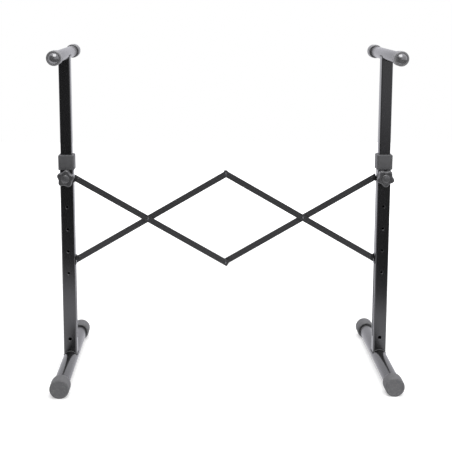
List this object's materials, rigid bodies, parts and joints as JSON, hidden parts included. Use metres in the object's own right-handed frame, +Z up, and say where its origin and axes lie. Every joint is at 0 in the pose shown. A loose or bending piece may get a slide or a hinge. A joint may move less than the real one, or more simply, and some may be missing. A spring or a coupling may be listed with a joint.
{
  "type": "folding keyboard stand",
  "caption": "Folding keyboard stand: two columns on round foot bars, sliding posts with capped support bars and knob locks, joined by a scissor lattice of flat bars.",
  "frame": {"origin": "on the floor, midway between the columns and between the front and rear foot caps", "axes": "+X to the right for a player who faces the stand, +Y away from the player, +Z up"},
  "size_m": [0.89, 0.504, 0.8599],
  "materials": {
    "frame_paint": "black satin powder coat",
    "bar_paint": "black satin powder coat",
    "rivet_steel": "blackened rivet steel, worn on the domes",
    "plated_steel": "zinc plated",
    "foot_rubber": "matt moulded rubber",
    "support_rubber": "satin moulded rubber",
    "collar_plastic": "fine grained black plastic",
    "knob_plastic": "satin black plastic",
    "black_nylon": "black nylon",
    "slider_nylon": "natural nylon"
  },
  "bodies": {
    "left_frame": {"left_foot_tube": "frame_paint", "left_foot_cap_front": "foot_rubber", "left_foot_cap_rear": "foot_rubber", "left_column_tube": "frame_paint", "left_column_collar": "collar_plastic", "left_lock_boss": "frame_paint", "left_upper_bracket": "frame_paint", "left_upper_rivet": "rivet_steel"},
    "left_post": {"left_post_tube": "frame_paint", "left_post_glide": "black_nylon", "left_support_tube": "frame_paint", "left_support_cap_front": "support_rubber", "left_support_cap_rear": "support_rubber"},
    "left_slider": {"left_slider_bracket": "frame_paint", "left_slider_block": "slider_nylon", "left_slider_screw": "plated_steel", "left_lower_rivet": "rivet_steel"},
    "left_stud": {"left_lock_stud": "plated_steel"},
    "left_knob": {"left_lock_knob": "knob_plastic", "left_lock_knob_hub": "knob_plastic"},
    "right_frame": {"right_foot_tube": "frame_paint", "right_foot_cap_front": "foot_rubber", "right_foot_cap_rear": "foot_rubber", "right_column_tube": "frame_paint", "right_column_collar": "collar_plastic", "right_lock_boss": "frame_paint", "right_upper_bracket": "frame_paint", "right_upper_rivet": "rivet_steel"},
    "right_post": {"right_post_tube": "frame_paint", "right_post_glide": "black_nylon", "right_support_tube": "frame_paint", "right_support_cap_front": "support_rubber", "right_support_cap_rear": "support_rubber"},
    "right_slider": {"right_slider_bracket": "frame_paint", "right_slider_block": "slider_nylon", "right_slider_screw": "plated_steel", "right_lower_rivet": "rivet_steel"},
    "right_stud": {"right_lock_stud": "plated_steel"},
    "right_knob": {"right_lock_knob": "knob_plastic", "right_lock_knob_hub": "knob_plastic"},
    "bar_left_upper": {"bar_left_upper": "bar_paint", "crossing_left_rivet": "rivet_steel", "crossing_left_washer": "black_nylon", "centre_bottom_rivet": "rivet_steel", "centre_bottom_spacer": "black_nylon"},
    "bar_left_lower": {"bar_left_lower": "bar_paint", "centre_top_rivet": "rivet_steel", "centre_top_washer": "black_nylon"},
    "bar_right_lower": {"bar_right_lower": "bar_paint", "crossing_right_rivet": "rivet_steel", "crossing_right_washer": "black_nylon"},
    "bar_right_upper": {"bar_right_upper": "bar_paint"}
  },
  "joints": [
    {"name": "fold", "type": "hinge", "parent": "left_frame", "child": "bar_left_upper", "pos_m": [-0.3915, 0, 0.513], "axis": [0, 1, 0], "range_deg": [0, 48.91]},
    {"name": "crossing_left_turn", "type": "hinge", "parent": "bar_left_upper", "child": "bar_left_lower", "pos_m": [-0.20721, 0, 0.40619], "axis": [0, 1, 0], "range_deg": [-97.82, 0]},
    {"name": "centre_top_turn", "type": "hinge", "parent": "bar_left_lower", "child": "bar_right_lower", "pos_m": [0, 0, 0.52629], "axis": [0, 1, 0], "range_deg": [0, 97.82]},
    {"name": "crossing_right_turn", "type": "hinge", "parent": "bar_right_lower", "child": "bar_right_upper", "pos_m": [0.20721, 0, 0.40619], "axis": [0, 1, 0], "range_deg": [-97.82, 0]},
    {"name": "right_column_turn", "type": "hinge", "parent": "bar_right_upper", "child": "right_frame", "pos_m": [0.3915, 0, 0.513], "axis": [0, 1, 0], "range_deg": [0, 48.91]},
    {"name": "left_slider_turn", "type": "hinge", "parent": "bar_left_lower", "child": "left_slider", "pos_m": [-0.3915, 0, 0.29939], "axis": [0, 1, 0], "range_deg": [0, 48.91]},
    {"name": "right_slider_turn", "type": "hinge", "parent": "bar_right_lower", "child": "right_slider", "pos_m": [0.3915, 0, 0.29939], "axis": [0, 1, 0], "range_deg": [-48.91, 0]},
    {"name": "left_height", "type": "slide", "parent": "left_frame", "child": "left_post", "axis": [0, 0, 1], "range_m": [-0.18, 0]},
    {"name": "left_lock_travel", "type": "slide", "parent": "left_frame", "child": "left_stud", "axis": [0, -1, 0], "range_m": [0, 0.0026]},
    {"name": "left_lock_turn", "type": "hinge", "parent": "left_stud", "child": "left_knob", "pos_m": [-0.42, -0.034, 0.52], "axis": [0, -1, 0], "range_deg": [0, 720]},
    {"name": "right_height", "type": "slide", "parent": "right_frame", "child": "right_post", "axis": [0, 0, 1], "range_m": [-0.18, 0]},
    {"name": "right_lock_travel", "type": "slide", "parent": "right_frame", "child": "right_stud", "axis": [0, -1, 0], "range_m": [0, 0.0026]},
    {"name": "right_lock_turn", "type": "hinge", "parent": "right_stud", "child": "right_knob", "pos_m": [0.42, -0.034, 0.52], "axis": [0, -1, 0], "range_deg": [0, 720]}
  ],
  "couplings": [
    {"joint": "crossing_left_turn", "follows": "fold", "ratio": -2},
    {"joint": "centre_top_turn", "follows": "fold", "ratio": 2},
    {"joint": "crossing_right_turn", "follows": "fold", "ratio": -2},
    {"joint": "right_column_turn", "follows": "fold", "ratio": 1},
    {"joint": "left_slider_turn", "follows": "fold", "ratio": 1},
    {"joint": "right_slider_turn", "follows": "fold", "ratio": -1},
    {"joint": "left_lock_travel", "follows": "left_lock_turn", "m_per_rad": 0.00019894},
    {"joint": "right_lock_travel", "follows": "right_lock_turn", "m_per_rad": 0.00019894}
  ]
}
